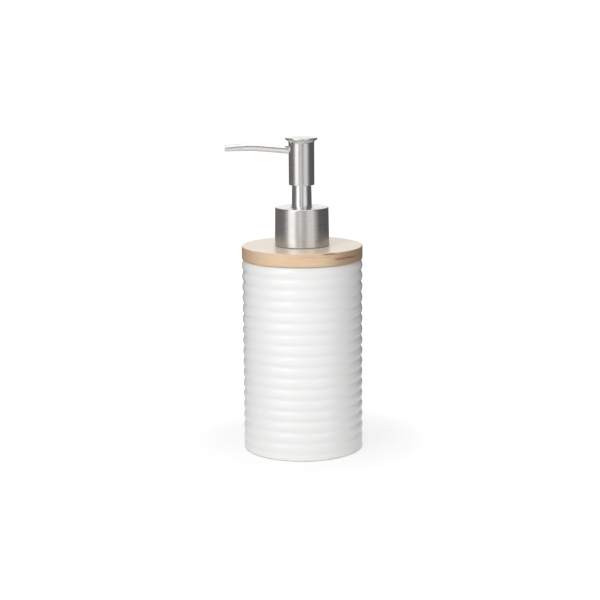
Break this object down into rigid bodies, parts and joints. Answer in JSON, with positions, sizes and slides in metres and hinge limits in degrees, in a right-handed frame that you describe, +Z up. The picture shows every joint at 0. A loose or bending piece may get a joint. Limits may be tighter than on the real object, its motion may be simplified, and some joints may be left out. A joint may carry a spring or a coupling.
{
  "type": "soap pump dispenser",
  "caption": "Ribbed white ceramic bottle with a wooden plug lid and a steel-clad lotion pump with a thin bent spout.",
  "frame": {"origin": "centre of the bottle's flat underside, on the common axis of the bottle, lid and pump", "axes": "+Z up along the axis of the bottle and pump; the spout points along -X"},
  "size_m": [0.0812, 0.072, 0.1873],
  "materials": {
    "glaze": "glossy white glaze, bare at the foot",
    "light_wood": "satin, fine straight grain",
    "silicone": "matte translucent white",
    "white_plastic": "moulded, satin",
    "natural_plastic": "moulded, milky translucent",
    "piston_plastic": "soft moulded, satin",
    "brushed_steel": "finely brushed, satin",
    "polished_steel": "polished"
  },
  "bodies": {
    "bottle": {"ceramic_bottle": "glaze"},
    "lid": {"wooden_lid": "light_wood", "lid_seal_ring": "silicone", "neck_insert": "white_plastic"},
    "housing": {"pump_housing": "natural_plastic", "closure_gasket": "silicone", "stem_guide": "white_plastic", "stem_sleeve": "polished_steel", "dip_tube": "natural_plastic", "return_spring": "polished_steel"},
    "closure": {"closure_cap": "white_plastic", "closure_shell": "brushed_steel"},
    "piston": {"piston": "piston_plastic"},
    "plunger": {"stem": "white_plastic", "piston_retainer": "white_plastic", "head_core": "white_plastic", "head_shell": "brushed_steel", "head_cap": "brushed_steel", "spout_tube": "polished_steel"},
    "inlet_ball": {"inlet_ball": "polished_steel"},
    "outlet_ball": {"outlet_ball": "polished_steel"}
  },
  "joints": [
    {"name": "lid_lift", "type": "slide", "parent": "bottle", "child": "lid", "axis": [0, 0, 1], "range_m": [0, 0.11]},
    {"name": "pump_rise", "type": "slide", "parent": "lid", "child": "housing", "axis": [0, 0, 1], "range_m": [0, 0.0053]},
    {"name": "closure_turn", "type": "hinge", "parent": "housing", "child": "closure", "pos_m": [0, 0, 0.1238], "axis": [0, 0, 1], "range_deg": [0, 450]},
    {"name": "pump_stroke", "type": "slide", "parent": "housing", "child": "piston", "axis": [0, 0, -1], "range_m": [0, 0.0126], "stiffness_N_per_m": 500, "springref_m": -0.01, "deforming": ["return_spring"]},
    {"name": "head_turn", "type": "hinge", "parent": "piston", "child": "plunger", "pos_m": [0, 0, 0.15945], "axis": [0, 0, 1], "continuous": true},
    {"name": "inlet_ball_lift", "type": "slide", "parent": "housing", "child": "inlet_ball", "axis": [0, 0, 1], "range_m": [0, 0.002]},
    {"name": "outlet_ball_lift", "type": "slide", "parent": "plunger", "child": "outlet_ball", "axis": [0, 0, 1], "range_m": [0, 0.002]}
  ],
  "couplings": [
    {"joint": "pump_rise", "follows": "closure_turn", "m_per_rad": 0.0006737}
  ]
}
